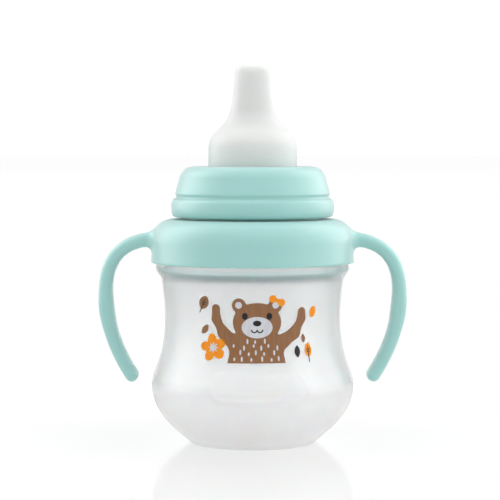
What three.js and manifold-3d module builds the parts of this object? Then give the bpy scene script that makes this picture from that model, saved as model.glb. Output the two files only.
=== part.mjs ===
// A training cup for a toddler: a translucent waisted beaker, a collar with a handle on each side,
// a screw ring, a soft spout that the ring holds on the beaker's rim, and a one-way valve in the spout.
// Millimetres, +Z up. The origin is the centre of the base, on the surface that the cup stands on.
// The handles lie along X, and the spout's mouthpiece is wider along X than along Y.

import * as THREE from "three";
import { mergeVertices } from "three/addons/utils/BufferGeometryUtils.js";
import Module from "manifold-3d";

const wasm = await Module();
wasm.setup();

// ---------------------------------------------------------------- driving dimensions

const GAP = 0.3; // running gap between pieces that touch on the real cup

// Beaker
const BELLY_R = 35.4;
const BELLY_Z = 20.4;
const WAIST_R = 30.65;
const WAIST_Z = 44;
const BEAD_R = 33.75; // the moulded bead that the collar stands on
const BEAD_Z = 60.9;
const CUP_WALL = 1.5;
const FOOT_R = 21.8; // outer edge of the ring that the beaker stands on
const FOOT_WIDTH = 2.2;
const FOOT_HEIGHT = 1.6; // how far the floor is raised inside the standing ring
const NECK_R = 22.4;
const NECK_WALL = 1.6;
const SHOULDER_Z = 75.8; // the ledge under the neck

// Collar with handles
const COLLAR_R = 35.55;
const COLLAR_WALL = 1.9;
const COLLAR_BASE_Z = 63;
const COLLAR_TOP_Z = 78.2;
const HANDLE_THICKNESS = 4.9;
const HANDLE_DEPTH = 8.6;
const HANDLE_ROUNDING = 1.9;
const HANDLE_ROOT_X = 31; // inside the collar, before its hollow is cut
const HANDLE_ROOT_Z = 70.9;
const HANDLE_SIDE_X = 51.4; // the centreline where it runs straight down
const HANDLE_SIDE_Z = 52.8;
const HANDLE_TIP_X = 42.5;
const HANDLE_TIP_Z = 23.5;

// Screw ring
const RING_R = 28.5; // widest, half way up the lower band
const RING_BASE_Z = COLLAR_TOP_Z + GAP;
const RING_TOP_Z = 96.6;
const RING_ROOF = 1.8;
const RING_STEP_Z = 86.1; // where the lower band meets the narrower upper part
const RING_STEP_R = 27;
const RING_SKIRT_BORE_R = 25.4;

// Spout
const SPOUT_BASE_R = 15.5;
const SPOUT_TOP_Z = 131.7;
const SPOUT_WALL = 1.6;
const SPOUT_FLANGE_R = 22.6;
const SPOUT_FLANGE = 1.8;
const SPOUT_DEPTH_SHARE = 0.74; // the mouthpiece is this much narrower along Y than along X
const SPOUT_SLOT = { width: 5, depth: 1.4 };

// Screw thread, two starts
const THREAD_LEAD = 8;
const THREAD_STARTS = 2;
const THREAD_SECTION_R = 1.05;
const THREAD_HEIGHT = 1.1; // how far a ridge stands out of its wall
const THREAD_CLEARANCE = 0.4;
const NECK_THREAD = { turns: 0.8, base: 82 };
const RING_THREAD = { turns: 0.7, base: NECK_THREAD.base + THREAD_LEAD / THREAD_STARTS / 2 };

// Valve
const HOLDER = { sleeveR: 13.55, wall: 1.25, flangeR: 17.5, flange: 1.2, top: 98.5, plate: 1.2 };
const PORT = { count: 6, r: 1.7, circleR: 6.4 };
const STEM = { hole: 1.6, r: 1.25, knobR: 2.4 };
const DISC = { r: 9.6, rim: 0.4, crown: 1.4 };

// Facets
const ROUND = 40; // sides of a turned piece
const BEND = 4; // steps along each curved stretch of an outline

// ---------------------------------------------------------------- worked out from them

const NECK_BORE_R = NECK_R - NECK_WALL;
const FLANGE_TOP_Z = RING_TOP_Z - RING_ROOF - GAP;
const FLANGE_BASE_Z = FLANGE_TOP_Z - SPOUT_FLANGE;
const RIM_Z = FLANGE_BASE_Z - GAP;
const RING_BORE_R = NECK_R + THREAD_HEIGHT + THREAD_CLEARANCE;
const COLLAR_BORE_R = NECK_R + THREAD_HEIGHT + 0.6;
const HOLDER_BASE_Z = FLANGE_BASE_Z - GAP - HOLDER.flange;
const PLATE_Z = HOLDER_BASE_Z + 2;

// ---------------------------------------------------------------- making solids

// A closed mesh as a solid that can be cut and joined.
function solidOf(geometry) {
  const bare = geometry.clone();
  bare.deleteAttribute("normal");
  bare.deleteAttribute("uv");
  const merged = mergeVertices(bare, 1e-4);
  const mesh = new wasm.Mesh({
    numProp: 3,
    vertProperties: merged.attributes.position.array,
    triVerts: new Uint32Array(merged.index.array),
  });
  return new wasm.Manifold(mesh);
}

// A solid back as a mesh.
function geometryOf(solid) {
  const mesh = solid.getMesh();
  const geometry = new THREE.BufferGeometry();
  geometry.setAttribute("position", new THREE.BufferAttribute(mesh.vertProperties, 3));
  geometry.setIndex(new THREE.BufferAttribute(mesh.triVerts, 1));
  geometry.computeVertexNormals();
  return geometry;
}

// Turns an outline of radius and height about Z. The outline runs up the outside and down the inside.
function turned(points, sides = ROUND) {
  return new THREE.LatheGeometry(points, sides).rotateX(Math.PI / 2);
}

// The points of a path, without the repeats where two stretches join.
function outline(path, bend = BEND) {
  const points = path.getPoints(bend);
  return points.filter((p, i) => i === 0 || p.distanceTo(points[i - 1]) > 1e-3);
}

// Closes an outline that goes round a hole in the middle.
function closed(points) {
  return [...points, points[0].clone()];
}

// ---------------------------------------------------------------- beaker

// The side of the beaker from foot to rim, moved in by an inset: 0 is the outside.
function cupSide(inset) {
  const neckR = inset ? NECK_BORE_R : NECK_R;
  const path = new THREE.Path();
  path.moveTo(FOOT_R + 0.4 - inset * 0.6, 0.4 + inset * 1.8);
  path.bezierCurveTo(
    FOOT_R + 8.2 - inset * 1.1, 6.6 - inset * 0.2,
    BELLY_R - inset, BELLY_Z - 8.1 + inset * 0.5,
    BELLY_R - inset, BELLY_Z,
  );
  path.bezierCurveTo(
    BELLY_R - inset, BELLY_Z + 4.5,
    WAIST_R - inset, WAIST_Z - 14.8,
    WAIST_R - inset, WAIST_Z,
  );
  path.bezierCurveTo(
    WAIST_R - inset, WAIST_Z + 4.5,
    WAIST_R + 0.55 - inset, WAIST_Z + 8.8,
    WAIST_R + 1.05 - inset, BEAD_Z - 4.4,
  );
  path.bezierCurveTo(
    WAIST_R + 1.3 - inset, BEAD_Z - 3.3,
    BEAD_R - 0.1 - inset, BEAD_Z - 1.2,
    BEAD_R - inset, BEAD_Z,
  );
  path.lineTo(BEAD_R - inset, BEAD_Z + 0.8);
  path.quadraticCurveTo(BEAD_R - inset, BEAD_Z + 1.75, BEAD_R - 1.35 - inset, BEAD_Z + 1.8);
  path.lineTo(BEAD_R - 1.35 - inset, BEAD_Z + 4.1);
  path.bezierCurveTo(
    BEAD_R - 1.35 - inset, SHOULDER_Z - 4.3,
    BEAD_R - 3.5 - inset, SHOULDER_Z - inset,
    BEAD_R - 7.2 - inset, SHOULDER_Z - inset,
  );
  path.lineTo(neckR + 0.8, SHOULDER_Z - inset);
  path.lineTo(neckR, SHOULDER_Z - inset + 0.8);
  path.lineTo(neckR, RIM_Z - 0.4);
  path.lineTo(inset ? neckR + 0.3 : neckR - 0.4, RIM_Z);
  return outline(path);
}

function cupBody() {
  const floor = FOOT_HEIGHT + CUP_WALL;
  const underside = [
    new THREE.Vector2(0, FOOT_HEIGHT),
    new THREE.Vector2(FOOT_R - FOOT_WIDTH - 1, FOOT_HEIGHT),
    new THREE.Vector2(FOOT_R - FOOT_WIDTH, 0),
    new THREE.Vector2(FOOT_R, 0),
  ];
  const inside = cupSide(CUP_WALL).reverse();
  const profile = [...underside, ...cupSide(0), ...inside, new THREE.Vector2(0, floor)];
  const beaker = solidOf(turned(profile));
  return geometryOf(threadRidges(NECK_R - THREAD_SECTION_R + THREAD_HEIGHT, NECK_THREAD, -1, beaker));
}

// ---------------------------------------------------------------- screw thread

// The centreline of one ridge. Its two ends sink into the wall that the ridge stands on.
class Helix extends THREE.Curve {
  constructor(radius, { turns, base }, start, sink) {
    super();
    Object.assign(this, { radius, turns, base, start, sink });
  }

  getPoint(t, target = new THREE.Vector3()) {
    const angle = 2 * Math.PI * (this.turns * t + this.start / THREAD_STARTS);
    const runOut = Math.max(0, 1 - Math.min(t, 1 - t) / 0.08);
    const radius = this.radius + this.sink * runOut * (THREAD_HEIGHT + 0.15);
    const height = this.base + THREAD_LEAD * this.turns * t;
    return target.set(radius * Math.cos(angle), radius * Math.sin(angle), height);
  }
}

// Joins the ridges to a wall. sink is -1 where the wall lies inside the ridges and 1 where it lies outside.
function threadRidges(radius, thread, sink, wall) {
  const section = new THREE.Shape().absarc(0, 0, THREAD_SECTION_R, 0, 2 * Math.PI);
  let joined = wall;
  for (let start = 0; start < THREAD_STARTS; start += 1) {
    const ridge = new THREE.ExtrudeGeometry(section, {
      extrudePath: new Helix(radius, thread, start, sink),
      steps: Math.round(ROUND * thread.turns),
      curveSegments: 4,
    });
    joined = joined.add(solidOf(ridge));
  }
  return joined;
}

// ---------------------------------------------------------------- collar with handles

// The handle's centreline seen from the front, from inside the collar to the centre of its rounded tip.
function handleLine() {
  const line = new THREE.Path();
  line.moveTo(HANDLE_ROOT_X, HANDLE_ROOT_Z);
  line.lineTo(COLLAR_R - 0.5, HANDLE_ROOT_Z);
  line.bezierCurveTo(
    HANDLE_SIDE_X - 5.4, HANDLE_ROOT_Z + 1.3,
    HANDLE_SIDE_X + 0.1, HANDLE_SIDE_Z + 12.4,
    HANDLE_SIDE_X, HANDLE_SIDE_Z,
  );
  line.bezierCurveTo(
    HANDLE_SIDE_X, HANDLE_SIDE_Z - 8.5,
    HANDLE_TIP_X + 6.8, HANDLE_TIP_Z + 10.6,
    HANDLE_TIP_X, HANDLE_TIP_Z,
  );
  return line;
}

// The handle's outline: its two edges run along the centreline and meet in a half circle.
function handleShape() {
  const line = handleLine();
  const steps = 26;
  const half = HANDLE_THICKNESS / 2;
  const outer = [];
  const inner = [];
  for (let i = 0; i <= steps; i += 1) {
    const at = line.getPointAt(i / steps);
    const along = line.getTangentAt(i / steps);
    const across = new THREE.Vector2(-along.y, along.x).multiplyScalar(half);
    outer.push(at.clone().add(across));
    inner.push(at.clone().sub(across));
  }
  const end = line.getTangentAt(1).angle();
  const tip = [];
  for (let turn = 1; turn < 6; turn += 1) {
    const angle = end + Math.PI / 2 - (turn * Math.PI) / 6;
    tip.push(new THREE.Vector2(Math.cos(angle), Math.sin(angle)).multiplyScalar(half).add(line.getPointAt(1)));
  }
  return new THREE.Shape([...outer, ...tip, ...inner.reverse()]);
}

function handle(side) {
  const flat = HANDLE_DEPTH - 2 * HANDLE_ROUNDING;
  const strap = new THREE.ExtrudeGeometry(handleShape(), {
    depth: flat,
    bevelThickness: HANDLE_ROUNDING,
    bevelSize: HANDLE_ROUNDING,
    bevelOffset: -HANDLE_ROUNDING,
    bevelSegments: 3,
    curveSegments: 1,
  });
  strap.rotateX(Math.PI / 2).translate(0, flat / 2, 0);
  return side > 0 ? strap : strap.rotateZ(Math.PI);
}

function collarOutside() {
  const path = new THREE.Path();
  path.moveTo(0, COLLAR_BASE_Z);
  path.lineTo(COLLAR_R - 0.5, COLLAR_BASE_Z);
  path.lineTo(COLLAR_R, COLLAR_BASE_Z + 0.5);
  path.lineTo(COLLAR_R - 0.15, COLLAR_BASE_Z + 2.5);
  path.lineTo(COLLAR_R - 0.4, COLLAR_TOP_Z - 7.4);
  path.bezierCurveTo(
    COLLAR_R - 0.65, COLLAR_TOP_Z - 3.7,
    COLLAR_R - 2.5, COLLAR_TOP_Z - 0.6,
    COLLAR_R - 6.65, COLLAR_TOP_Z,
  );
  path.lineTo(0, COLLAR_TOP_Z);
  return outline(path);
}

function collarHollow() {
  const below = COLLAR_BASE_Z - 1;
  const above = COLLAR_TOP_Z + 1;
  const roof = SHOULDER_Z + GAP;
  const path = new THREE.Path();
  path.moveTo(0, below);
  path.lineTo(COLLAR_R - COLLAR_WALL, below);
  path.lineTo(COLLAR_R - COLLAR_WALL - 0.3, COLLAR_TOP_Z - 6.2);
  path.bezierCurveTo(
    COLLAR_R - COLLAR_WALL - 0.5, COLLAR_TOP_Z - 3.6,
    COLLAR_R - COLLAR_WALL - 1.6, roof,
    COLLAR_R - COLLAR_WALL - 4, roof,
  );
  path.lineTo(COLLAR_BORE_R, roof);
  path.lineTo(COLLAR_BORE_R, above);
  path.lineTo(0, above);
  return outline(path);
}

function handleCollar() {
  const body = solidOf(turned(collarOutside())).add(solidOf(handle(1))).add(solidOf(handle(-1)));
  return geometryOf(body.subtract(solidOf(turned(collarHollow()))));
}

// ---------------------------------------------------------------- screw ring

function screwRing() {
  const roof = RING_TOP_Z - RING_ROOF;
  const path = new THREE.Path();
  path.moveTo(RING_SKIRT_BORE_R, RING_BASE_Z);
  path.lineTo(RING_R - 1.6, RING_BASE_Z);
  path.bezierCurveTo(
    RING_R - 0.6, RING_BASE_Z + 0.7,
    RING_R, RING_BASE_Z + 2,
    RING_R, RING_BASE_Z + 3.4,
  );
  path.bezierCurveTo(
    RING_R, RING_STEP_Z - 3.1,
    RING_R - 0.1, RING_STEP_Z - 1.6,
    RING_R - 0.7, RING_STEP_Z - 1.1,
  );
  path.lineTo(RING_STEP_R, RING_STEP_Z);
  path.lineTo(RING_STEP_R - 0.6, RING_STEP_Z + 2.7);
  path.lineTo(RING_STEP_R - 1.35, RING_TOP_Z - 4.1);
  path.bezierCurveTo(
    RING_STEP_R - 1.8, RING_TOP_Z - 2,
    RING_STEP_R - 3.5, RING_TOP_Z - 0.2,
    RING_STEP_R - 6.5, RING_TOP_Z,
  );
  path.lineTo(SPOUT_BASE_R + GAP + 0.6, RING_TOP_Z);
  path.lineTo(SPOUT_BASE_R + GAP, RING_TOP_Z - 0.6);
  path.lineTo(SPOUT_BASE_R + GAP, roof);
  path.lineTo(RING_BORE_R - 0.8, roof);
  path.lineTo(RING_BORE_R, roof - 0.9);
  path.lineTo(RING_BORE_R, RING_BASE_Z + 4);
  path.lineTo(RING_SKIRT_BORE_R, RING_BASE_Z + 2.5);
  const ring = solidOf(turned(closed(outline(path))));
  return geometryOf(threadRidges(RING_BORE_R + THREAD_SECTION_R - THREAD_HEIGHT, RING_THREAD, 1, ring));
}

// ---------------------------------------------------------------- spout

// The spout's wall from where it leaves the flange to its tip, moved in by an inset: 0 is the outside.
function spoutSide(path, inset) {
  path.lineTo(SPOUT_BASE_R - inset, SPOUT_TOP_Z - 29.3);
  path.bezierCurveTo(
    SPOUT_BASE_R - inset, SPOUT_TOP_Z - 27,
    14.9 - inset * 0.8, SPOUT_TOP_Z - 25.1 - inset * 0.6,
    13.2 - inset * 0.7, SPOUT_TOP_Z - 23.2 - inset * 0.7,
  );
  path.bezierCurveTo(
    10.9 - inset * 0.7, SPOUT_TOP_Z - 21.3 - inset * 0.7,
    8.2 - inset, SPOUT_TOP_Z - 18.8,
    7.5 - inset, SPOUT_TOP_Z - 14.6,
  );
  path.quadraticCurveTo(6.95 - inset, SPOUT_TOP_Z - 11.4, 6.65 - inset, SPOUT_TOP_Z - 8.6);
  path.lineTo(6.2 - inset, SPOUT_TOP_Z - 2.3 - inset * 0.6);
  path.quadraticCurveTo(6.05 - inset, SPOUT_TOP_Z - inset, 4.7 - inset, SPOUT_TOP_Z - inset);
  path.lineTo(0, SPOUT_TOP_Z - inset);
}

// Narrows a turned spout along Y, from full depth at its base to an oval mouthpiece.
function narrowed(geometry) {
  const position = geometry.attributes.position;
  for (let i = 0; i < position.count; i += 1) {
    const share = THREE.MathUtils.smoothstep(position.getZ(i), SPOUT_TOP_Z - 27, SPOUT_TOP_Z - 15);
    position.setY(i, position.getY(i) * THREE.MathUtils.lerp(1, SPOUT_DEPTH_SHARE, share));
  }
  return geometry;
}

function spout() {
  const inside = new THREE.Path();
  inside.moveTo(SPOUT_BASE_R - SPOUT_WALL, FLANGE_BASE_Z);
  spoutSide(inside, SPOUT_WALL);

  const outside = new THREE.Path();
  outside.moveTo(SPOUT_FLANGE_R, FLANGE_BASE_Z);
  outside.lineTo(SPOUT_FLANGE_R, FLANGE_TOP_Z);
  outside.lineTo(SPOUT_BASE_R, FLANGE_TOP_Z);
  spoutSide(outside, 0);

  const shell = solidOf(narrowed(turned([...outline(inside).reverse(), ...outline(outside)], 36)));

  const halfSlot = (SPOUT_SLOT.width - SPOUT_SLOT.depth) / 2;
  const slot = new THREE.Shape();
  slot.absarc(halfSlot, 0, SPOUT_SLOT.depth / 2, -Math.PI / 2, Math.PI / 2);
  slot.absarc(-halfSlot, 0, SPOUT_SLOT.depth / 2, Math.PI / 2, (3 * Math.PI) / 2);
  const cutter = new THREE.ExtrudeGeometry(slot, {
    depth: SPOUT_WALL + 2,
    bevelEnabled: false,
    curveSegments: 5,
  }).translate(0, 0, SPOUT_TOP_Z - SPOUT_WALL - 1);
  return geometryOf(shell.subtract(solidOf(cutter)));
}

// ---------------------------------------------------------------- valve

// A sleeve that plugs into the spout from below, closed by a plate with ports and a hole for the stem.
function valveHolder() {
  const bore = HOLDER.sleeveR - HOLDER.wall;
  const path = new THREE.Path();
  path.moveTo(STEM.hole, PLATE_Z);
  path.lineTo(bore, PLATE_Z);
  path.lineTo(bore, HOLDER_BASE_Z);
  path.lineTo(HOLDER.flangeR, HOLDER_BASE_Z);
  path.lineTo(HOLDER.flangeR, HOLDER_BASE_Z + HOLDER.flange);
  path.lineTo(HOLDER.sleeveR, HOLDER_BASE_Z + HOLDER.flange);
  path.lineTo(HOLDER.sleeveR, HOLDER.top);
  path.lineTo(bore, HOLDER.top);
  path.lineTo(bore, PLATE_Z + HOLDER.plate);
  path.lineTo(STEM.hole, PLATE_Z + HOLDER.plate);
  let body = solidOf(turned(closed(outline(path)), 32));
  for (let i = 0; i < PORT.count; i += 1) {
    const angle = (2 * Math.PI * i) / PORT.count;
    const port = new THREE.CylinderGeometry(PORT.r, PORT.r, HOLDER.plate + 2, 14);
    port.rotateX(Math.PI / 2);
    port.translate(PORT.circleR * Math.cos(angle), PORT.circleR * Math.sin(angle), PLATE_Z + HOLDER.plate / 2);
    body = body.subtract(solidOf(port));
  }
  return geometryOf(body);
}

// An umbrella valve: a thin disc over the ports, with a stem through the plate and a knob that keeps it in.
function valveDisc() {
  const seat = PLATE_Z + HOLDER.plate + GAP;
  const knobTop = PLATE_Z - 0.9;
  const path = new THREE.Path();
  path.moveTo(0, knobTop - 1.7);
  path.lineTo(STEM.r, knobTop - 1.7);
  path.lineTo(STEM.knobR, knobTop - 0.5);
  path.lineTo(STEM.knobR, knobTop);
  path.lineTo(STEM.r, knobTop);
  path.lineTo(STEM.r, seat);
  path.lineTo(DISC.r, seat);
  path.lineTo(DISC.r, seat + DISC.rim);
  path.quadraticCurveTo(DISC.r / 2, seat + DISC.crown, 0, seat + DISC.crown);
  return turned(outline(path, 4), 24);
}

// ---------------------------------------------------------------- the assembled cup

const MATERIALS = {
  clear: { color: 0xe4e9ec, roughness: 0.28, metalness: 0 },
  mint: { color: 0xb4e0d6, roughness: 0.45, metalness: 0 },
  silicone: { color: 0xf0f1ee, roughness: 0.55, metalness: 0 },
  white: { color: 0xf4f5f5, roughness: 0.4, metalness: 0 },
};

const cup = new THREE.Group();

function add(parent, name, geometry, material) {
  const mesh = new THREE.Mesh(geometry, new THREE.MeshStandardMaterial(MATERIALS[material]));
  mesh.name = name;
  parent.add(mesh);
}

add(cup, "cup_body", cupBody(), "clear");
add(cup, "handle_collar", handleCollar(), "mint");

const lid = new THREE.Group();
add(lid, "screw_ring", screwRing(), "mint");
add(lid, "spout", spout(), "silicone");
add(lid, "valve_holder", valveHolder(), "white");
add(lid, "valve_disc", valveDisc(), "silicone");
cup.add(lid);

export default cup;
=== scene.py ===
"""A toddler's training cup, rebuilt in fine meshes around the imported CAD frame.

Lengths in this script are millimetres until a mesh is made, where MM turns them into metres.
+Z is up, the handles lie along X and the print faces -Y, towards the camera.
"""

import math

import bmesh
import bpy
import numpy as np
import openvdb
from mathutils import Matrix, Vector


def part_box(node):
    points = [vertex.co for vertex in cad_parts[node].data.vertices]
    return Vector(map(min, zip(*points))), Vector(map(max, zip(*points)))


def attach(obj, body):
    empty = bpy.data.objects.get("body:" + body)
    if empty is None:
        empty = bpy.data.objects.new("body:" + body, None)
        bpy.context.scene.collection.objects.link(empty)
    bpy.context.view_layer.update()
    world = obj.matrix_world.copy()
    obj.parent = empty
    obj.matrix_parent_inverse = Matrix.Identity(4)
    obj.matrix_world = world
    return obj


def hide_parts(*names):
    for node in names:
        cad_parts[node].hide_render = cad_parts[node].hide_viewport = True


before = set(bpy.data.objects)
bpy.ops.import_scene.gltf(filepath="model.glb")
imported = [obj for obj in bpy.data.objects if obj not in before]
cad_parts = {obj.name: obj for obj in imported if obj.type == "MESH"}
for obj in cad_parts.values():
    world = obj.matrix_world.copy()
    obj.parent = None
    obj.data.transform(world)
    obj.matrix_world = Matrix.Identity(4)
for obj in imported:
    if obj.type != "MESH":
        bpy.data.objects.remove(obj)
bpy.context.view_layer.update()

MM = 0.001


# ---------------------------------------------------------------- sizes from the frame


def span(node):
    """Half width along X, half width along Y, bottom and top of a CAD node, in millimetres."""
    low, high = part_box(node)
    return high.x / MM, high.y / MM, low.z / MM, high.z / MM


BELLY_R, _, _, RIM_Z = span("cup_body")
HANDLE_REACH, COLLAR_R, HANDLE_FOOT_Z, COLLAR_TOP_Z = span("handle_collar")
RING_R, _, RING_BASE_Z, RING_TOP_Z = span("screw_ring")
SPOUT_FLANGE_R, _, SPOUT_BASE_Z, SPOUT_TOP_Z = span("spout")
HOLDER_R, _, HOLDER_BASE_Z, HOLDER_TOP_Z = span("valve_holder")
DISC_R, _, DISC_BASE_Z, DISC_TOP_Z = span("valve_disc")

GAP = 0.3  # clearance between pieces that pass each other
CUP_MIDDLE = (0, 0, 0.07)  # what the panels of light face, in metres

# beaker
BELLY_Z = 20.4
WAIST_R = 30.65
WAIST_Z = 44.0
BEAD_R = 33.75
BEAD_Z = 60.9
BEAD_TOP_Z = BEAD_Z + 2.05
SHOULDER_R = BEAD_R - 1.35
CUP_WALL = 1.5
FOOT_R = 21.8
FOOT_WIDTH = 2.2
FOOT_HEIGHT = 1.6
NECK_R = 22.4
NECK_WALL = 1.6
SHOULDER_Z = COLLAR_TOP_Z - 2.4
PANEL = {"u": 2.2, "z": 22.8, "half_width": 17.5, "half_height": 5.2, "rise": 0.32, "edge": 0.9}
PANEL_ZONE = (10, 32)  # heights well below and above the panel

# collar and handles
COLLAR_BASE_Z = 63.0
COLLAR_WALL = 1.9
COLLAR_BORE_R = 24.1
HANDLE_DEPTH = 8.6
HANDLE_EDGE = 2.2
ROOT_FILLET = 3.2

# screw ring
RING_STEP_Z = 86.1
RING_STEP_R = 27.0
RING_ROOF = 1.8
RING_BORE_R = 23.9

# spout
SPOUT_R = 15.5
SPOUT_WALL = 1.6
SPOUT_FLANGE = 1.8
SPOUT_DEPTH_SHARE = 0.74
SLOT_WIDTH = 5.0
SLOT_DEPTH = 1.4

# screw thread
LEAD = 8.0
STARTS = 2
RIDGE_HEIGHT = 1.1
RIDGE_HALF_WIDTH = 1.05
RUN_OUT = 0.08  # the share of a ridge over which each of its ends fades
NECK_THREAD = {"turns": 0.8, "base": 82.0}
RING_THREAD = {"turns": 0.7, "base": 84.0}

SIDES = 288  # round a turned piece
SHARP = 0.12  # how close to an outline's corner the point lies that keeps its shading crisp
SAME = 1e-6  # lengths below this are taken as nothing


# ---------------------------------------------------------------- outlines


class Outline:
    """A run of (radius, height) points, drawn with straight and curved stretches."""

    def __init__(self, r, z):
        self.points = [(r, z)]

    def line(self, r, z, steps=1):
        """A straight stretch, with a point close to each end so that smooth shading stays there."""
        r0, z0 = self.points[-1]
        length = math.hypot(r - r0, z - z0)
        shares = [i / steps for i in range(1, steps + 1)]
        near = SHARP / length if length > 0 else 1
        if near < 0.5 / steps:
            shares = [near, *shares[:-1], 1 - near, 1]
        for share in shares:
            self.points.append((r0 + (r - r0) * share, z0 + (z - z0) * share))
        return self

    def corner(self, r, z, end_r, end_z, steps=6):
        """A rounded corner that would come to a point at (r, z) and ends at (end_r, end_z)."""
        r0, z0 = self.points[-1]
        for i in range(1, steps + 1):
            t = i / steps
            self.points.append((
                (1 - t) ** 2 * r0 + 2 * (1 - t) * t * r + t**2 * end_r,
                (1 - t) ** 2 * z0 + 2 * (1 - t) * t * z + t**2 * end_z,
            ))
        return self

    def bend(self, r1, z1, r2, z2, end_r, end_z, steps=24):
        """A cubic curve to (end_r, end_z), pulled towards (r1, z1) and then (r2, z2)."""
        r0, z0 = self.points[-1]
        for i in range(1, steps + 1):
            t = i / steps
            weights = (1 - t) ** 3, 3 * (1 - t) ** 2 * t, 3 * (1 - t) * t**2, t**3
            self.points.append((
                sum(w * v for w, v in zip(weights, (r0, r1, r2, end_r))),
                sum(w * v for w, v in zip(weights, (z0, z1, z2, end_z))),
            ))
        return self

    def close(self):
        """Ends the outline where it began, for a piece with a hole in the middle."""
        return self.line(*self.points[0])


# ---------------------------------------------------------------- meshes


def new_object(name, vertices, faces):
    """A smooth mesh object from millimetre vertices, with its faces turned outwards."""
    mesh = bpy.data.meshes.new(name)
    mesh.from_pydata((np.asarray(vertices) * MM).tolist(), [], faces)
    work = bmesh.new()
    work.from_mesh(mesh)
    bmesh.ops.recalc_face_normals(work, faces=work.faces)
    work.to_mesh(mesh)
    work.free()
    mesh.shade_smooth()
    piece = bpy.data.objects.new(name, mesh)
    bpy.context.scene.collection.objects.link(piece)
    return piece


def turned(name, outline, shape=None, sides=SIDES):
    """Turns an outline about Z.

    shape(angles, r, z, row) gives how far each point of one row moves out from the axis.
    """
    points = outline.points
    looped = math.dist(points[0], points[-1]) < SAME
    if looped:
        points = points[:-1]
    angles = np.linspace(0, 2 * math.pi, sides, endpoint=False)
    vertices, rows = [], []
    for number, (r, z) in enumerate(points):
        first = len(vertices)
        if r < SAME:
            vertices.append((0, 0, z))
            rows.append([first] * sides)
            continue
        radii = r + (shape(angles, r, z, number) if shape else 0 * angles)
        vertices.extend(zip(radii * np.cos(angles), radii * np.sin(angles), [z] * sides))
        rows.append(list(range(first, first + sides)))
    faces = []
    pairs = list(zip(rows, rows[1:])) + ([(rows[-1], rows[0])] if looped else [])
    for low, high in pairs:
        for i in range(sides):
            j = (i + 1) % sides
            corners = dict.fromkeys((low[i], low[j], high[j], high[i]))
            faces.append(tuple(corners))
    return new_object(name, vertices, faces)


def thread(angles, z, turns, base):
    """How far the thread's ridges stand out of their wall at this height."""
    height = 0 * angles
    for start in range(STARTS):
        turn = (angles / (2 * math.pi) - start / STARTS) % 1.0
        along = turn / turns
        run_out = np.clip(np.minimum(along, 1 - along) / RUN_OUT, 0, 1)
        off = (z - base - LEAD * turn) / RIDGE_HALF_WIDTH
        ridge = np.sqrt(np.clip(1 - off**2, 0, 1)) * run_out
        height = np.maximum(height, RIDGE_HEIGHT * ridge)
    return height


# ---------------------------------------------------------------- fields


def outline_field(outline, step=0.1):
    """A function of radius and height: how far outside an outline a point lies, negative inside."""
    loop = np.array(outline.points)
    if math.dist(loop[0], loop[-1]) > SAME:
        loop = np.vstack([loop, loop[:1]])
    margin = 6
    r_axis = np.arange(-1, loop[:, 0].max() + margin, step)
    z_axis = np.arange(loop[:, 1].min() - margin, loop[:, 1].max() + margin, step)
    r, z = np.meshgrid(r_axis, z_axis, indexing="ij")
    near = np.full(r.shape, np.inf)
    inside = np.zeros(r.shape, bool)
    for (r0, z0), (r1, z1) in zip(loop, loop[1:]):
        dr, dz = r1 - r0, z1 - z0
        length = dr * dr + dz * dz
        if length < 1e-12:
            continue
        t = np.clip(((r - r0) * dr + (z - z0) * dz) / length, 0, 1)
        near = np.minimum(near, np.hypot(r - r0 - t * dr, z - z0 - t * dz))
        if z0 != z1:
            crosses = (z0 > z) != (z1 > z)
            inside ^= crosses & (r < r0 + (z - z0) * dr / (z1 - z0))
    table = np.where(inside, -near, near)
    return lambda at_r, at_z: looked_up(table, r_axis, z_axis, at_r, at_z)


def looked_up(table, u_axis, v_axis, u, v):
    """Reads an evenly spaced table between its points."""
    i = np.clip((u - u_axis[0]) / (u_axis[1] - u_axis[0]), 0, len(u_axis) - 1.001)
    j = np.clip((v - v_axis[0]) / (v_axis[1] - v_axis[0]), 0, len(v_axis) - 1.001)
    i0, j0 = i.astype(int), j.astype(int)
    fi, fj = i - i0, j - j0
    return (
        table[i0, j0] * (1 - fi) * (1 - fj)
        + table[i0 + 1, j0] * fi * (1 - fj)
        + table[i0, j0 + 1] * (1 - fi) * fj
        + table[i0 + 1, j0 + 1] * fi * fj
    )


def melted(a, b, reach):
    """The union of two fields with a fillet."""
    h = np.clip(reach - np.abs(a - b), 0, None) / reach
    return np.minimum(a, b) - h * h * reach / 4


def cut(a, b, reach):
    """Field a without field b, with its new edges rounded."""
    return -melted(-a, b, reach)


def field_object(name, field, low, high, step):
    """Meshes the surface where a field of (x, y, z) is zero, and pulls each vertex onto it."""
    axes = [np.arange(a, b + step, step, dtype=np.float32) for a, b in zip(low, high)]
    x, y, z = np.meshgrid(*axes, indexing="ij")
    values = field(x, y, z).astype(np.float32)
    grid = openvdb.FloatGrid(float(values.max()))
    grid.copyFromArray(values)
    points, quads = grid.convertToQuads()
    points = points.astype(float) * step + np.array(low)
    nudge, passes, longest_share = 0.02, 4, 0.3
    for _ in range(passes):
        px, py, pz = points.T
        value = field(px, py, pz)
        slope = np.stack([
            field(px + nudge, py, pz) - field(px - nudge, py, pz),
            field(px, py + nudge, pz) - field(px, py - nudge, pz),
            field(px, py, pz + nudge) - field(px, py, pz - nudge),
        ], axis=1) / (2 * nudge)
        size = np.clip((slope**2).sum(1), 0.05, None)
        move = slope * (value / size)[:, None]
        longest = np.linalg.norm(move, axis=1)
        points -= move * np.minimum(1, longest_share * step / np.maximum(longest, 1e-9))[:, None]
    return new_object(name, points, quads.tolist())


# ---------------------------------------------------------------- beaker


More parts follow.
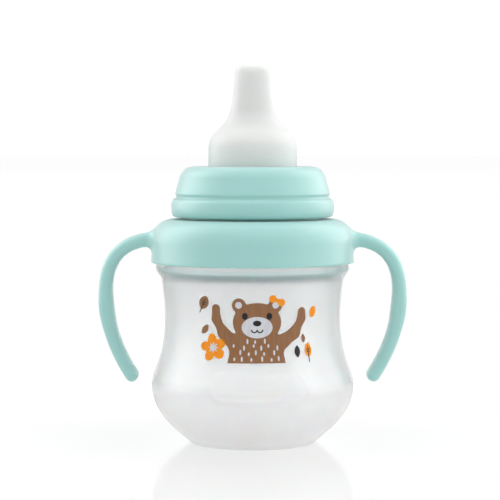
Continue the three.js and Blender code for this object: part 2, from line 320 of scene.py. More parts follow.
def beaker_outside():
    """The beaker's outer side, from its standing ring up to the shoulder."""
    side = Outline(FOOT_R - 0.5, 0)
    side.corner(FOOT_R + 0.1, 0, FOOT_R + 0.6, 0.65)
    side.bend(FOOT_R + 8.3, 6.7, BELLY_R, BELLY_Z - 8.2, BELLY_R, BELLY_Z, steps=40)
    side.bend(BELLY_R, BELLY_Z + 4.5, WAIST_R, WAIST_Z - 14.8, WAIST_R, WAIST_Z, steps=44)
    side.bend(
        WAIST_R, WAIST_Z + 4.5, WAIST_R + 0.55, WAIST_Z + 8.8,
        WAIST_R + 1.0, BEAD_Z - 4.4, steps=16,
    )
    side.bend(
        WAIST_R + 1.1, BEAD_Z - 3.7, WAIST_R + 1.25, BEAD_Z - 3.2,
        WAIST_R + 1.6, BEAD_Z - 2.6, steps=8,
    )
    side.bend(BEAD_R - 0.6, BEAD_Z - 1.2, BEAD_R, BEAD_Z - 0.8, BEAD_R, BEAD_Z + 0.1, steps=10)
    side.line(BEAD_R, BEAD_Z + 1.75)
    side.corner(BEAD_R, BEAD_TOP_Z, BEAD_R - 0.35, BEAD_TOP_Z)
    side.line(BEAD_R - 1.3, BEAD_TOP_Z)
    return side


def beaker():
    """The whole beaker: underside, outer side, shoulder and threaded neck, then back down inside."""
    outline = Outline(0, FOOT_HEIGHT)
    outline.line(FOOT_R - FOOT_WIDTH - 1.4, FOOT_HEIGHT)
    outline.corner(FOOT_R - FOOT_WIDTH - 0.5, FOOT_HEIGHT, FOOT_R - FOOT_WIDTH - 0.1, 0.6)
    outline.corner(FOOT_R - FOOT_WIDTH + 0.2, 0, FOOT_R - FOOT_WIDTH + 0.7, 0)
    outline.line(FOOT_R - 0.5, 0)
    outline.points += beaker_outside().points[1:]
    outline.line(SHOULDER_R, BEAD_Z + 4.1)
    outline.bend(SHOULDER_R, SHOULDER_Z - 4.3, BEAD_R - 3.5, SHOULDER_Z, BEAD_R - 7.2, SHOULDER_Z)
    outline.line(NECK_R + 1, SHOULDER_Z)
    outline.corner(NECK_R, SHOULDER_Z, NECK_R, SHOULDER_Z + 1)
    thread_rows = len(outline.points)
    outline.line(NECK_R, RIM_Z - 0.6, steps=90)
    outer_rows = len(outline.points)
    outline.corner(NECK_R, RIM_Z, NECK_R - 0.6, RIM_Z)
    bore = NECK_R - NECK_WALL
    shoulder = SHOULDER_Z - CUP_WALL
    inner = SHOULDER_R - CUP_WALL
    outline.line(bore + 0.6, RIM_Z)
    outline.corner(bore, RIM_Z, bore, RIM_Z - 0.6)
    outline.line(bore, shoulder + 1.2)
    outline.corner(bore, shoulder, bore + 1.2, shoulder)
    outline.line(BEAD_R - 8.7, shoulder)
    outline.bend(inner - 2.2, shoulder, inner, SHOULDER_Z - 5.8, inner - 0.1, BEAD_Z + 3.6)
    outline.bend(inner - 0.3, BEAD_Z, WAIST_R - 0.9, BEAD_Z - 3, WAIST_R - 0.95, BEAD_Z - 6, steps=12)
    waist, belly = WAIST_R - CUP_WALL, BELLY_R - CUP_WALL
    outline.bend(WAIST_R - 1.1, WAIST_Z + 8.5, waist, WAIST_Z + 5, waist, WAIST_Z, steps=12)
    outline.bend(waist, WAIST_Z - 14.8, belly, BELLY_Z + 4.5, belly, BELLY_Z)
    floor = FOOT_HEIGHT + CUP_WALL
    outline.bend(belly, BELLY_Z - 7.7, FOOT_R + 6.6, 6.9, FOOT_R - 0.6, floor + 0.9)
    outline.bend(FOOT_R - 1.9, floor + 0.2, FOOT_R - 3.5, floor, FOOT_R - 6, floor, steps=8)
    outline.line(0, floor)

    def shape(angles, r, z, row):
        if thread_rows <= row < outer_rows:
            return thread(angles, z, **NECK_THREAD)
        if row < thread_rows and PANEL_ZONE[0] < z < PANEL_ZONE[1] and r > FOOT_R:
            return panel_rise(angles, z)
        return 0 * angles

    return turned("cup_shell", outline, shape)


def panel_rise(angles, z):
    """The soft raised oval on the front of the belly."""
    across = np.abs((angles - 1.5 * math.pi) * BELLY_R - PANEL["u"])
    straight = PANEL["half_width"] - PANEL["half_height"]
    out = np.hypot(np.clip(across - straight, 0, None), z - PANEL["z"]) - PANEL["half_height"]
    t = np.clip(0.5 - out / PANEL["edge"], 0, 1)
    rim_inset, rim_width, rim_share, flat_share = 0.6, 0.55, 0.45, 0.6
    rim = np.exp(-(((out + rim_inset) / rim_width) ** 2)) * rim_share
    return PANEL["rise"] * (t * t * (3 - 2 * t) * flat_share + rim)


# ---------------------------------------------------------------- collar with handles


def handle_line():
    """The handle's centreline, as (x, z, half thickness) from inside the collar to its tip."""
    upper = Outline(31.5, 71.1)
    upper.bend(39.5, 71.7, 51.4, 69.3, HANDLE_REACH - 2.4, 53.2, steps=40)
    upper.bend(51.6, 44.0, 49.4, 34.4, 42.4, 23.5, steps=40)
    points = np.array(upper.points)
    gone = np.concatenate([[0], np.cumsum(np.linalg.norm(np.diff(points, axis=0), axis=1))])
    share = gone / gone[-1]
    root = 0.1 * np.exp(-((share / 0.14) ** 2))
    grip = 0.3 * np.exp(-(((share - 0.6) / 0.09) ** 2))
    taper = 0.2 * np.clip(share - 0.7, 0, 1)
    return np.column_stack([points, 2.35 + root + grip - taper])


def handle_field():
    """A function of (x, y, z) for both handles. The section is a rounded rectangle."""
    step = 0.1
    line = handle_line()
    x_axis = np.arange(20, HANDLE_REACH + 8, step)
    z_axis = np.arange(HANDLE_FOOT_Z - 6, COLLAR_TOP_Z + 4, step)
    x, z = np.meshgrid(x_axis, z_axis, indexing="ij")
    near = np.full(x.shape, np.inf)
    for (x0, z0, h0), (x1, z1, h1) in zip(line, line[1:]):
        dx, dz = x1 - x0, z1 - z0
        t = np.clip(((x - x0) * dx + (z - z0) * dz) / (dx * dx + dz * dz), 0, 1)
        gap = np.hypot(x - x0 - t * dx, z - z0 - t * dz) - (h0 + t * (h1 - h0))
        near = np.minimum(near, gap)

    def field(px, py, pz):
        flat = looked_up(near, x_axis, z_axis, np.abs(px), pz) + HANDLE_EDGE
        deep = np.abs(py) - HANDLE_DEPTH / 2 + HANDLE_EDGE
        outside = np.hypot(np.clip(flat, 0, None), np.clip(deep, 0, None))
        return outside + np.minimum(np.maximum(flat, deep), 0) - HANDLE_EDGE

    return field


def collar_outside():
    """The solid that the collar is cut from, without its handles."""
    side = Outline(-1, COLLAR_BASE_Z)
    side.line(COLLAR_R - 0.6, COLLAR_BASE_Z)
    side.corner(COLLAR_R, COLLAR_BASE_Z, COLLAR_R - 0.05, COLLAR_BASE_Z + 0.7)
    side.bend(
        COLLAR_R - 0.2, COLLAR_BASE_Z + 2.5, COLLAR_R - 0.35, COLLAR_BASE_Z + 5,
        COLLAR_R - 0.4, COLLAR_TOP_Z - 7.4, steps=12,
    )
    side.bend(
        COLLAR_R - 0.65, COLLAR_TOP_Z - 3.7, COLLAR_R - 2.5, COLLAR_TOP_Z - 0.6,
        COLLAR_R - 6.65, COLLAR_TOP_Z, steps=30,
    )
    side.line(-1, COLLAR_TOP_Z)
    return side.close()


def collar_hollow():
    """The space inside the collar, and the hole in its roof that the neck stands up through."""
    inner = COLLAR_R - COLLAR_WALL
    roof = SHOULDER_Z + GAP
    side = Outline(-1, COLLAR_BASE_Z - 3)
    side.line(inner, COLLAR_BASE_Z - 3)
    side.line(inner - 0.3, COLLAR_TOP_Z - 6.2)
    side.bend(inner - 0.5, COLLAR_TOP_Z - 3.6, inner - 1.6, roof, inner - 4, roof)
    side.line(COLLAR_BORE_R, roof)
    side.line(COLLAR_BORE_R, COLLAR_TOP_Z + 3)
    side.line(-1, COLLAR_TOP_Z + 3)
    return side.close()


def collar():
    outside, hollow = outline_field(collar_outside()), outline_field(collar_hollow())
    handles = handle_field()

    def field(x, y, z):
        r = np.hypot(x, y)
        body = melted(outside(r, z), handles(x, y, z), ROOT_FILLET)
        return cut(body, hollow(r, z), 0.5)

    reach, deep = HANDLE_REACH + 1, COLLAR_R + 1
    low, high = (-reach, -deep, HANDLE_FOOT_Z - 1), (reach, deep, COLLAR_TOP_Z + 1)
    return field_object("collar_with_handles", field, low, high, 0.35)


# ---------------------------------------------------------------- screw ring


def ring():
    """The screw ring: a lip that nearly meets the collar, its outside, its roof and its thread."""
    roof = RING_TOP_Z - RING_ROOF
    hole = SPOUT_R + GAP
    lip_z = COLLAR_TOP_Z + 0.05
    lip_r = RING_BORE_R + 0.4
    skirt_z = RING_BASE_Z + 0.55
    outline = Outline(RING_BORE_R, lip_z)
    outline.line(lip_r, lip_z)
    outline.line(lip_r, skirt_z)
    outline.line(RING_R - 1.2, skirt_z)
    outline.bend(
        RING_R - 0.4, RING_BASE_Z + 0.7, RING_R, RING_BASE_Z + 1.9,
        RING_R, RING_BASE_Z + 3.6,
    )
    outline.bend(
        RING_R, RING_STEP_Z - 3.2, RING_R - 0.1, RING_STEP_Z - 1.9,
        RING_R - 0.45, RING_STEP_Z - 1.25, steps=12,
    )
    outline.corner(RING_R - 0.65, RING_STEP_Z - 0.9, RING_STEP_R + 0.4, RING_STEP_Z - 0.75, steps=5)
    outline.corner(RING_STEP_R - 0.3, RING_STEP_Z - 0.6, RING_STEP_R - 0.35, RING_STEP_Z, steps=6)
    outline.corner(RING_STEP_R - 0.3, RING_STEP_Z + 0.5, RING_STEP_R + 0.05, RING_STEP_Z + 0.9, steps=6)
    outline.bend(
        RING_STEP_R + 0.15, RING_STEP_Z + 1.4, RING_STEP_R - 0.9, RING_STEP_Z + 4.4,
        RING_STEP_R - 1.35, RING_TOP_Z - 4.1, steps=16,
    )
    outline.bend(
        RING_STEP_R - 1.8, RING_TOP_Z - 2.0, RING_STEP_R - 3.5, RING_TOP_Z - 0.1,
        RING_STEP_R - 6.5, RING_TOP_Z, steps=28,
    )
    outline.line(hole + 0.7, RING_TOP_Z)
    outline.corner(hole, RING_TOP_Z, hole, RING_TOP_Z - 0.7)
    outline.line(hole, roof + 0.2)
    outline.corner(hole, roof, hole + 0.2, roof, steps=3)
    outline.line(RING_BORE_R - 0.8, roof)
    outline.corner(RING_BORE_R, roof, RING_BORE_R, roof - 0.9, steps=5)
    first = len(outline.points)
    outline.line(RING_BORE_R, RING_BASE_Z + 4, steps=70)
    last = len(outline.points)
    outline.close()

    def shape(angles, r, z, row):
        if first <= row < last:
            return -thread(angles, z, **RING_THREAD)
        return 0 * angles

    return turned("threaded_ring", outline, shape)


# ---------------------------------------------------------------- spout


def spout_side(side, inset):
    """Adds the spout's wall, base to tip. The inset is 0 outside and the wall's thickness inside."""
    top = SPOUT_TOP_Z
    side.line(SPOUT_R - inset, top - 29.3)
    side.bend(
        SPOUT_R - inset, top - 27, 14.9 - inset * 0.8, top - 25.1 - inset * 0.6,
        13.2 - inset * 0.7, top - 23.2 - inset * 0.7,
    )
    side.bend(
        10.9 - inset * 0.7, top - 21.3 - inset * 0.7, 8.2 - inset, top - 18.8,
        7.5 - inset, top - 14.6,
    )
    side.corner(6.95 - inset, top - 11.4, 6.65 - inset, top - 8.6, steps=12)
    side.line(6.2 - inset, top - 2.5 - inset * 0.6)
    side.corner(6.05 - inset, top - inset, 4.35 - inset, top - inset, steps=12)
    return side.line(-1, top - inset)


def spout():
    """The soft spout: round at its base, and flattened front to back at its mouthpiece."""
    flange_top = SPOUT_BASE_Z + SPOUT_FLANGE
    outer = Outline(-1, SPOUT_BASE_Z)
    outer.line(SPOUT_FLANGE_R, SPOUT_BASE_Z)
    outer.line(SPOUT_FLANGE_R, flange_top)
    outer.line(SPOUT_R, flange_top)
    outside = outline_field(spout_side(outer, 0).close())
    inner = Outline(-1, SPOUT_BASE_Z - 3)
    inner.line(SPOUT_R - SPOUT_WALL, SPOUT_BASE_Z - 3)
    inside = outline_field(spout_side(inner, SPOUT_WALL).close())
    flat_start, flat_run = 27, 12

    def field(x, y, z):
        t = np.clip((z - SPOUT_TOP_Z + flat_start) / flat_run, 0, 1)
        share = 1 - (1 - SPOUT_DEPTH_SHARE) * t * t * (3 - 2 * t)
        r = np.hypot(x, y / share)
        slot_x = np.clip(np.abs(x) - (SLOT_WIDTH - SLOT_DEPTH) / 2, 0, None)
        slot = np.hypot(slot_x, y) - SLOT_DEPTH / 2
        slot = np.maximum(slot, SPOUT_TOP_Z - SPOUT_WALL - 1 - z)
        return cut(cut(outside(r, z), inside(r, z), 0.5), slot, 0.7)

    reach = SPOUT_FLANGE_R + 1
    low, high = (-reach, -reach, SPOUT_BASE_Z - 1), (reach, reach, SPOUT_TOP_Z + 1)
    return field_object("soft_spout", field, low, high, 0.36)


# ---------------------------------------------------------------- valve


def valve_sleeve():
    """The valve holder: a flanged sleeve with a plate, ports through it and a hole for the stem."""
    wall, flange, rounding = 1.25, 1.2, 0.12
    sleeve, plate, plate_z = 13.55, 1.2, HOLDER_BASE_Z + 2
    ports, port_r, port_circle, stem_hole = 6, 1.7, 6.4, 1.6
    bore = sleeve - wall
    outline = Outline(stem_hole, plate_z)
    outline.line(bore, plate_z)
    outline.line(bore, HOLDER_BASE_Z)
    outline.line(HOLDER_R, HOLDER_BASE_Z)
    outline.line(HOLDER_R, HOLDER_BASE_Z + flange)
    outline.line(sleeve, HOLDER_BASE_Z + flange)
    outline.line(sleeve, HOLDER_TOP_Z)
    outline.line(bore, HOLDER_TOP_Z)
    outline.line(bore, plate_z + plate)
    outline.line(stem_hole, plate_z + plate)
    solid = outline_field(outline.close())

    def field(x, y, z):
        body = solid(np.hypot(x, y), z) - rounding
        for i in range(ports):
            angle = 2 * math.pi * i / ports
            dx, dy = x - port_circle * math.cos(angle), y - port_circle * math.sin(angle)
            port = np.maximum(np.hypot(dx, dy) - port_r, np.abs(z - plate_z - plate / 2) - plate)
            body = cut(body, port, 0.3)
        return body + rounding

    reach = HOLDER_R + 1
    low, high = (-reach, -reach, HOLDER_BASE_Z - 1), (reach, reach, HOLDER_TOP_Z + 1)
    return field_object("valve_sleeve", field, low, high, 0.3)


def valve_flap():
    """The umbrella valve: a domed disc over the ports, on a stem with a knob that holds it."""
    stem, knob, seat = 1.25, 2.4, DISC_TOP_Z - 1.4
    knob_top = DISC_BASE_Z + 1.7
    outline = Outline(0, DISC_BASE_Z)
    outline.line(stem - 0.3, DISC_BASE_Z)
    outline.corner(stem, DISC_BASE_Z, stem + 0.2, DISC_BASE_Z + 0.25)
    outline.line(knob - 0.1, DISC_BASE_Z + 1.0)
    outline.corner(knob, DISC_BASE_Z + 1.2, knob, knob_top - 0.3)
    outline.corner(knob, knob_top, knob - 0.3, knob_top)
    outline.line(stem, knob_top)
    outline.line(stem, seat)
    outline.line(DISC_R - 0.15, seat)
    outline.corner(DISC_R, seat, DISC_R, seat + 0.15)
    outline.corner(DISC_R, seat + 0.4, DISC_R - 0.4, seat + 0.45)
    outline.corner(DISC_R / 2, DISC_TOP_Z, 0, DISC_TOP_Z, steps=16)
    return turned("umbrella_flap", outline, sides=96)


# ---------------------------------------------------------------- print on the beaker


# In the print, u runs round the beaker to the right and v up from PRINT_Z. A shape gives how far
# outside it a point lies, negative inside.
PRINT_Z = 31.0  # the flat base of the printed figure
INK = 0.03  # thickness of one layer of print
INK_GAP = 0.02  # between the beaker and the first layer


def beaker_radius():
    """A function of height: the radius of the beaker's outer side."""
    points = np.array(beaker_outside().points)
    return lambda z: np.interp(z, points[:, 1], points[:, 0])


radius_at = beaker_radius()


def disc(u, v, centre, r):
    return np.hypot(u - centre[0], v - centre[1]) - r


def oval(u, v, centre, half_u, half_v, turn=0.0):
    """An ellipse, with its distance good near its edge."""
    du, dv = u - centre[0], v - centre[1]
    a = du * math.cos(turn) + dv * math.sin(turn)
    b = dv * math.cos(turn) - du * math.sin(turn)
    size = np.hypot(a / half_u, b / half_v)
    slope = np.hypot(a / half_u**2, b / half_v**2) / np.maximum(size, SAME)
    return (size - 1) / np.maximum(slope, SAME)


def limb(u, v, start, end, r0, r1):
    """A round-ended bar whose radius goes from r0 to r1."""
    du, dv = end[0] - start[0], end[1] - start[1]
    t = np.clip(((u - start[0]) * du + (v - start[1]) * dv) / (du * du + dv * dv), 0, 1)
    return np.hypot(u - start[0] - t * du, v - start[1] - t * dv) - (r0 + t * (r1 - r0))


def leaf_shape(u, v, centre, length, width, turn):
    """Two arcs that meet in a point at each end. turn is from the upright."""
    du, dv = u - centre[0], v - centre[1]
    a = du * math.cos(turn) + dv * math.sin(turn)
    b = dv * math.cos(turn) - du * math.sin(turn)
    r = (length**2 + width**2) / (4 * width)
    return np.hypot(np.abs(a) + r - width / 2, b) - r


def film(name, shape, low, high, layer, ink, step=0.2):
    """A thin film of ink on the beaker's front, wherever shape(u, v) is negative."""
    us, vs = np.arange(low[0], high[0], step), np.arange(low[1], high[1], step)
    u, v = np.meshgrid(us, vs, indexing="ij")
    middle = shape(u[:-1, :-1] + step / 2, v[:-1, :-1] + step / 2) < 0
    count = np.zeros(u.shape, int)
    for i in (0, 1):
        for j in (0, 1):
            count[i:len(us) - 1 + i, j:len(vs) - 1 + j] += middle
    edge = (count > 0) & (count < 4)
    nudge, passes = 0.01, 4
    for _ in range(passes):
        value = shape(u, v)
        slope_u = (shape(u + nudge, v) - shape(u - nudge, v)) / (2 * nudge)
        slope_v = (shape(u, v + nudge) - shape(u, v - nudge)) / (2 * nudge)
        size = np.clip(slope_u**2 + slope_v**2, 0.05, None)
        u = np.where(edge, u - np.clip(value * slope_u / size, -step, step), u)
        v = np.where(edge, v - np.clip(value * slope_v / size, -step, step), v)
    z = PRINT_Z + v
    r = radius_at(z) + INK_GAP + INK * (layer + 1)
    angle = -math.pi / 2 + u / WAIST_R
    place = np.stack([r * np.cos(angle), r * np.sin(angle), z], axis=-1)
    number = -np.ones(u.shape, int)
    number[count > 0] = np.arange((count > 0).sum())
    cells = np.argwhere(middle)
    faces = [
        (number[i, j], number[i + 1, j], number[i + 1, j + 1], number[i, j + 1])
        for i, j in cells
    ]
    mesh = bpy.data.meshes.new(name)
    mesh.from_pydata((place[count > 0] * MM).tolist(), [], [tuple(map(int, f)) for f in faces])
    mesh.shade_smooth()
    mesh.materials.append(ink)
    piece = bpy.data.objects.new(name, mesh)
    bpy.context.scene.collection.objects.link(piece)
    solid = piece.modifiers.new("thickness", "SOLIDIFY")
    solid.thickness, solid.offset = INK * MM, -1
    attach(piece, "cup")
    return piece


BEAR = 1.3  # the figure's middle, a little to the right of the beaker's


def bear_arm(u, v, hand, hand_v, side):
    """A raised arm: the place and radius of its shoulder, elbow, wrist and paw."""
    joints = (
        (side * 6.3, 5.6, 2.9), (side * (hand - 2.7), 9.9, 1.75),
        (side * hand, 14.6, 1.35), (side * hand, hand_v, 1.5),
    )
    parts = [limb(u, v, a[:2], b[:2], a[2], b[2]) for a, b in zip(joints, joints[1:])]
    arm = parts[0]
    for part in parts[1:]:
        arm = melted(arm, part, 1.6)
    return arm


def bear_figure(u, v):
    """The brown shape: torso, head, ears and raised arms, cut off flat at the bottom."""
    u = u - BEAR
    torso = melted(oval(u, v, (0, 3.5), 7.8, 8.6), disc(u, v, (0, -2), 9.4), 4)
    body = melted(torso, oval(u, v, (0.2, 13.6), 8.2, 6.6), 1.5)
    for side in (-1, 1):
        ear = disc(u, v, (0.2 + side * 6.1, 19.3), 2.4)
        body = melted(body, ear, 0.8)
    body = melted(body, bear_arm(u, v, 13.9, 18.1, -1), 1.6)
    body = melted(body, bear_arm(u, v, 16.0, 16.9, 1), 1.6)
    return np.maximum(body, -v)


def bear_pale(u, v):
    """The pale muzzle, the insides of the ears and the flecks of fur."""
    u = u - BEAR
    parts = [oval(u, v, (0.2, 11.9), 5.2, 3.6)]
    parts += [disc(u, v, (0.2 + side * 6.2, 19.4), 1.15) for side in (-1, 1)]
    for row, (height, count) in enumerate(((1.3, 6), (3.3, 5), (5.4, 6), (7.2, 3))):
        for i in range(count):
            across = (i - (count - 1) / 2) * 2.9 + 0.5 * math.sin(5 * i + 2 * row)
            tall = 0.62 + 0.28 * ((i + row) % 2)
            parts.append(oval(u, v, (across, height + 0.35 * math.sin(3 * i + row)), 0.33, tall))
    return np.minimum.reduce(parts)


def bear_dark(u, v):
    """The nose, the eyes and the smile."""
    u = u - BEAR - 0.2
    parts = [oval(u, v, (0, 13.3), 1.4, 0.95)]
    for side in (-1, 1):
        parts.append(oval(u, v, (side * 4.1, 15.7), 0.95, 1.15))
        smile = np.abs(disc(u, v, (side * 0.95, 11.2), 0.95)) - 0.2
        parts.append(np.maximum(smile, v - 11.2))
    return np.minimum.reduce(parts)


FLOWER = (-13.4, 5.0)  # its middle


def petals(u, v):
    parts = []
    for i in range(5):
        angle = math.pi / 2 + 2 * math.pi * i / 5 + 0.2
        middle = (FLOWER[0] + 2.65 * math.cos(angle), FLOWER[1] + 2.65 * math.sin(angle))
        parts.append(oval(u, v, middle, 2.1, 1.65, angle))
    return np.minimum.reduce(parts)


def flower_heart(u, v):
    parts = [disc(u, v, FLOWER, 1.0)]
    for i in range(8):
        angle = 2 * math.pi * i / 8
        middle = (FLOWER[0] + 1.05 * math.cos(angle), FLOWER[1] + 1.05 * math.sin(angle))
        parts.append(oval(u, v, middle, 0.75, 0.28, angle))
    return np.minimum.reduce(parts)


def bow(u, v):
    """A small bow beside the ear."""
    u, v = u - BEAR - 6.9, v - 20.9
    lean = -0.4
    knot = disc(u, v, (0, 0), 0.6)
    loops = [
        oval(u, v, (side * 1.6 * math.cos(lean), side * 1.6 * math.sin(lean)), 1.3, 1.25, lean)
        for side in (-1, 1)
    ]
    return np.minimum.reduce([knot, *loops])


def veined(centre, length, turn):
    """The dark midrib, stalk and side veins of a leaf."""
    along = np.array([-math.sin(turn), math.cos(turn)])
    middle = np.array(centre)

    def shape(u, v):
        parts = [limb(u, v, middle - along * length * 0.78, middle + along * length * 0.28, 0.17, 0.1)]
        for i in (-1, 0):
            foot = middle + along * length * (0.16 * i - 0.02)
            for side in (-1, 1):
                tip = foot + length * np.array([
                    0.17 * math.cos(turn) * side - 0.17 * math.sin(turn),
                    0.17 * math.sin(turn) * side + 0.17 * math.cos(turn),
                ])
                parts.append(limb(u, v, foot, tip, 0.12, 0.08))
        return np.minimum.reduce(parts)

    return shape


# ---------------------------------------------------------------- materials


class Shader:
    """A Principled material and short calls for the nodes that feed it."""

    def __init__(self, name, colour, roughness, **values):
        self.material = bpy.data.materials.new(name)
        self.material.use_nodes = True
        self.tree = self.material.node_tree
        self.surface = self.tree.nodes["Principled BSDF"]
        self.surface.inputs["Base Color"].default_value = (*colour, 1)
        self.surface.inputs["Roughness"].default_value = roughness
        for socket, value in values.items():
            self.surface.inputs[socket.replace("_", " ")].default_value = value

    def node(self, kind, settings=None, **inputs):
        made = self.tree.nodes.new(kind)
        for key, value in (settings or {}).items():
            setattr(made, key, value)
        for key, value in inputs.items():
            socket = made.inputs[key.replace("_", " ")]
            if isinstance(value, bpy.types.NodeSocket):
                self.tree.links.new(value, socket)
            else:
                socket.default_value = value
        return made

    def place(self):
        return self.node("ShaderNodeTexCoord").outputs["Object"]

    def noise(self, scale, detail=3.0, roughness=0.5):
        noise = self.node(
            "ShaderNodeTexNoise", Vector=self.place(), Scale=scale, Detail=detail, Roughness=roughness
        )
        return noise.outputs["Fac"]

    def ramp(self, factor, *stops, mode="EASE"):
        made = self.node("ShaderNodeValToRGB", Fac=factor)
        elements = made.color_ramp.elements
        made.color_ramp.interpolation = mode
        while len(elements) < len(stops):
            elements.new(0.5)
        for element, (at, colour) in zip(elements, stops):
            element.position = at
            element.color = (*colour, 1)
        return made.outputs["Color"]

    def between(self, factor, low, high, source_low=0.0, source_high=1.0):
        """Maps source_low..source_high onto low..high, and holds it there outside that range."""
        made = self.node("ShaderNodeMapRange", Value=factor)
        for key, value in (
            ("From Min", source_low), ("From Max", source_high), ("To Min", low), ("To Max", high)
        ):
            made.inputs[key].default_value = value
        return made.outputs["Result"]

    def drive(self, socket, source):
        self.tree.links.new(source, self.surface.inputs[socket])

    def bump(self, height, strength, distance):
        made = self.node("ShaderNodeBump", Height=height, Strength=strength, Distance=distance)
        self.drive("Normal", made.outputs["Normal"])


def mint_plastic():
    """Satin moulded polypropylene, slightly soft in the light."""
    made = Shader(
        "mint_plastic", (0.37, 0.66, 0.63), 0.38,
        Subsurface_Weight=0.2, Subsurface_Scale=0.001, IOR=1.5, Sheen_Weight=0.6, Sheen_Roughness=0.4,
    )
    made.surface.inputs["Subsurface Radius"].default_value = (0.7, 1.0, 0.9)
    made.drive("Base Color", made.ramp(
        made.noise(22.0, 2.0), (0.3, (0.355, 0.645, 0.615)), (0.7, (0.375, 0.67, 0.64)),
    ))
    made.drive("Roughness", made.between(made.noise(160.0, 4.0), 0.34, 0.44))
    made.bump(made.noise(2600.0, 2.0), 0.06, 0.0001)
    return made.material


def milky_plastic():
    """Natural polypropylene: cloudy, less clear at its foot, with a painted mint reflection of the collar
    along the bead.
    """
    clear, collar_reflection_low, collar_reflection_high = (0.955, 0.966, 0.968), (0.76, 0.91, 0.91), (0.80, 0.94, 0.93)
    reflection_foot, reflection_head = 0.0555, 0.0635
    base_z, clear_z = 0.002, 0.022
    made = Shader(
        "milky_plastic", clear, 0.22,
        Transmission_Weight=0.75, IOR=1.46, Subsurface_Weight=0.3, Subsurface_Scale=0.003,
        Specular_IOR_Level=0.1,
    )
    height = made.node("ShaderNodeSeparateXYZ", Vector=made.place()).outputs["Z"]
    # painted reflection: the mint collar seen in the wall just below it, given as a band of colour by
    # height
    collar_reflection_band = made.between(height, 0, 1, reflection_foot, reflection_head)
    made.drive("Base Color", made.ramp(
        collar_reflection_band,
        (0.0, clear), (0.39, clear), (0.44, collar_reflection_low), (0.76, collar_reflection_high), (0.80, (0.95, 0.96, 0.96)),
        mode="LINEAR",
    ))
    made.drive("Transmission Weight", made.between(height, 0.2, 0.78, base_z, clear_z))
    made.drive("Roughness", made.between(made.noise(60.0, 3.0), 0.19, 0.27))
    made.bump(made.noise(700.0, 3.0), 0.05, 0.0002)
    return made.material


def white_silicone():
    """Soft white silicone with a fine matt skin."""
    made = Shader(
        "white_silicone", (0.84, 0.86, 0.84), 0.46,
        Subsurface_Weight=0.6, Subsurface_Scale=0.005, IOR=1.41, Sheen_Weight=0.4, Sheen_Roughness=0.4,
    )
    made.surface.inputs["Subsurface Radius"].default_value = (1.0, 1.0, 0.95)
    made.drive("Base Color", made.ramp(
        made.noise(30.0, 2.0), (0.3, (0.83, 0.855, 0.82)), (0.7, (0.86, 0.88, 0.85)),
    ))
    made.drive("Roughness", made.between(made.noise(220.0, 4.0), 0.4, 0.52))
    made.bump(made.noise(2200.0, 3.0), 0.08, 0.0001)
    return made.material


def white_plastic():
    """The valve holder's rigid plastic."""
    made = Shader("white_plastic", (0.86, 0.87, 0.86), 0.35, Subsurface_Weight=0.15, Subsurface_Scale=0.003)
    made.drive("Roughness", made.between(made.noise(200.0, 3.0), 0.3, 0.42))
    made.bump(made.noise(2400.0, 2.0), 0.06, 0.0001)
    return made.material


def ink(name, colour, darker):
    """Screen-printed ink: a little uneven, with a faint streak along the squeegee's way."""
    made = Shader(name, colour, 0.42, Specular_IOR_Level=0.25)
    streak = made.node("ShaderNodeMapping", Vector=made.place(), Scale=(1.0, 1.0, 0.12))
    noise = made.node(
        "ShaderNodeTexNoise", Vector=streak.outputs["Vector"], Scale=900.0, Detail=2.0, Roughness=0.6
    )
    made.drive("Base Color", made.ramp(noise.outputs["Fac"], (0.35, darker), (0.65, colour)))
    made.drive("Roughness", made.between(made.noise(500.0, 2.0), 0.36, 0.5))
    return made.material


# ---------------------------------------------------------------- the pieces


def fitted(piece, material, body, node):
    """Gives a piece its material, its body and the CAD node that it stands for."""
    piece.data.materials.append(material)
    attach(piece, body)
    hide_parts(node)
    return piece


mint, milky, silicone, plastic = mint_plastic(), milky_plastic(), white_silicone(), white_plastic()
shell = fitted(beaker(), milky, "cup", "cup_body")
shell.visible_shadow = False  # so that light reaches its inside and the floor
upper = [
    fitted(collar(), mint, "collar", "handle_collar"),
    fitted(ring(), mint, "ring", "screw_ring"),
    fitted(spout(), silicone, "lid", "spout"),
]
fitted(valve_sleeve(), plastic, "valve", "valve_holder")
fitted(valve_flap(), silicone, "valve_flap", "valve_disc")

BROWN = ink("brown_ink", (0.30, 0.15, 0.07), (0.27, 0.13, 0.06))
BLACK = ink("black_ink", (0.018, 0.018, 0.02), (0.012, 0.012, 0.014))
ORANGE = ink("orange_ink", (0.93, 0.32, 0.012), (0.9, 0.27, 0.01))
PALE = ink("pale_ink", (0.68, 0.69, 0.72), (0.62, 0.63, 0.67))

film("print_bear", bear_figure, (-18, -1), (21, 24), 0, BROWN)
film("print_bear_pale", bear_pale, (-14, 0), (16, 24), 1, PALE, step=0.12)
film("print_bear_features", bear_dark, (-6, 8), (10, 20), 2, BLACK, step=0.08)
film("print_bow", bow, (4, 15), (14, 25), 2, ORANGE, step=0.12)
film("print_flower", petals, (-20, -1), (-8, 11), 0, ORANGE)
film("print_flower_heart", flower_heart, (-17, 2), (-10, 8), 1, PALE, step=0.08)

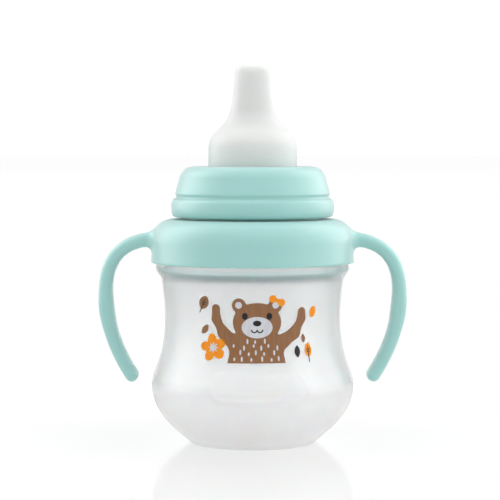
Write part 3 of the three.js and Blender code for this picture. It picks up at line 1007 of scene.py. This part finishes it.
LEAVES = {
    # name: middle, length, width, lean from the upright, ink, veins
    "left_high": ((-17.1, 20.0), 4.9, 3.6, -0.5, BROWN, True),
    "left_low": ((-16.8, 11.0), 3.8, 2.2, -0.7, BROWN, False),
    "right_high": ((22.0, 16.7), 4.1, 2.7, -0.2, ORANGE, False),
    "right_small": ((17.9, 7.9), 3.0, 1.6, 0.1, BROWN, False),
    "right_dark": ((15.3, 3.6), 4.1, 2.1, 0.0, BLACK, False),
    "right_low": ((19.6, 3.9), 5.0, 2.8, 0.0, ORANGE, True),
}
for name, (middle, length, width, lean, colour, veins) in LEAVES.items():
    low = (middle[0] - length, middle[1] - length)
    high = (middle[0] + length, middle[1] + length)

    def blade(u, v, middle=middle, length=length, width=width, lean=lean):
        return leaf_shape(u, v, middle, length, width, lean)

    film(f"print_leaf_{name}", blade, low, high, 0, colour, step=0.12)
    if veins:
        film(f"print_veins_{name}", veined(middle, length, lean), low, high, 1, BLACK, step=0.06)


# ---------------------------------------------------------------- stage, light and camera


def studio_floor():
    """A plain pale floor, wide enough to reach past every view."""
    mesh = bpy.data.meshes.new("floor")
    half = 20.0
    corners = [(-half, -half, 0), (half, -half, 0), (half, half, 0), (-half, half, 0)]
    mesh.from_pydata(corners, [], [(0, 1, 2, 3)])
    floor = bpy.data.objects.new("floor", mesh)
    bpy.context.scene.collection.objects.link(floor)
    made = Shader("floor_white", (0.92, 0.92, 0.92), 0.1)
    made.drive("Roughness", made.between(made.noise(3.0), 0.09, 0.11))
    mesh.materials.append(made.material)


def add_lamp(name, kind, place, target=CUP_MIDDLE):
    lamp = bpy.data.lights.new(name, kind)
    holder = bpy.data.objects.new(name, lamp)
    bpy.context.scene.collection.objects.link(holder)
    holder.location = place
    holder.rotation_euler = (Vector(target) - Vector(place)).to_track_quat("-Z", "Y").to_euler()
    return lamp


def softbox(name, place, size, power):
    """A panel of light that faces the cup."""
    lamp = add_lamp(name, "AREA", place)
    lamp.shape, lamp.size, lamp.size_y, lamp.energy = "RECTANGLE", size[0], size[1], power


def rim_light(name, place, size, power, pieces):
    """A tall panel behind the cup that only shows as a highlight on the flanks of these pieces."""
    softbox(name, place, size, power)
    panel = bpy.data.objects[name]
    panel.visible_diffuse = False
    panel.visible_transmission = False
    lit = bpy.data.collections.new(name)
    for piece in pieces:
        lit.objects.link(piece)
    panel.light_linking.receiver_collection = lit


def overhead(strength, angle):
    """A wide, even light from above, so that the floor is lit alike near and far."""
    lamp = add_lamp("overhead", "SUN", (0, 0, 2), (0, 0.1, 0))
    lamp.energy, lamp.angle = strength, math.radians(angle)


def studio_world():
    """A white surround that looks bright to the camera and in reflections, and lights softly."""
    seen_strength, lighting_strength = 1.04, 0.36
    world = bpy.data.worlds.new("studio")
    bpy.context.scene.world = world
    world.use_nodes = True
    tree = world.node_tree
    background = tree.nodes["Background"]
    background.inputs["Color"].default_value = (1, 1, 1, 1)
    path = tree.nodes.new("ShaderNodeLightPath")
    strength = tree.nodes.new("ShaderNodeMapRange")
    strength.inputs["To Min"].default_value = seen_strength
    strength.inputs["To Max"].default_value = lighting_strength
    tree.links.new(path.outputs["Is Diffuse Ray"], strength.inputs["Value"])
    tree.links.new(strength.outputs["Result"], background.inputs["Strength"])


def camera():
    """The photo's view: from two thirds of a metre, a little above the screw ring."""
    lens = bpy.data.cameras.new("camera")
    lens.sensor_width = 36.0
    lens.lens = 136.8
    lens.clip_end = 50
    seen = bpy.data.objects.new("camera", lens)
    bpy.context.scene.collection.objects.link(seen)
    aside, distance, height, aim = -0.0009, 0.665, 0.1035, 0.0673
    seen.location = (aside, -distance, height)
    seen.rotation_euler = (math.pi / 2 - math.atan((height - aim) / distance), 0, 0)
    bpy.context.scene.camera = seen


studio_floor()
studio_world()
rim_light("rim_left", (-0.74, 0.26, 0.4), (0.7, 0.9), 6.5, upper)
rim_light("rim_right", (0.72, 0.34, 0.4), (0.8, 0.9), 6.5, upper)
rim_light("glint_left", (-0.76, 0.1, 0.4), (0.25, 0.9), 1.2, [shell])
rim_light("glint_right", (0.72, 0.3, 0.4), (0.25, 0.9), 0.6, [shell])
softbox("softbox_left", (-0.78, -0.2, 0.3), (0.5, 0.8), 1.25)
softbox("softbox_right", (0.74, -0.3, 0.3), (0.5, 0.8), 1.9)
overhead(strength=1.95, angle=100)
camera()
bpy.context.scene.view_settings.view_transform = "Standard"
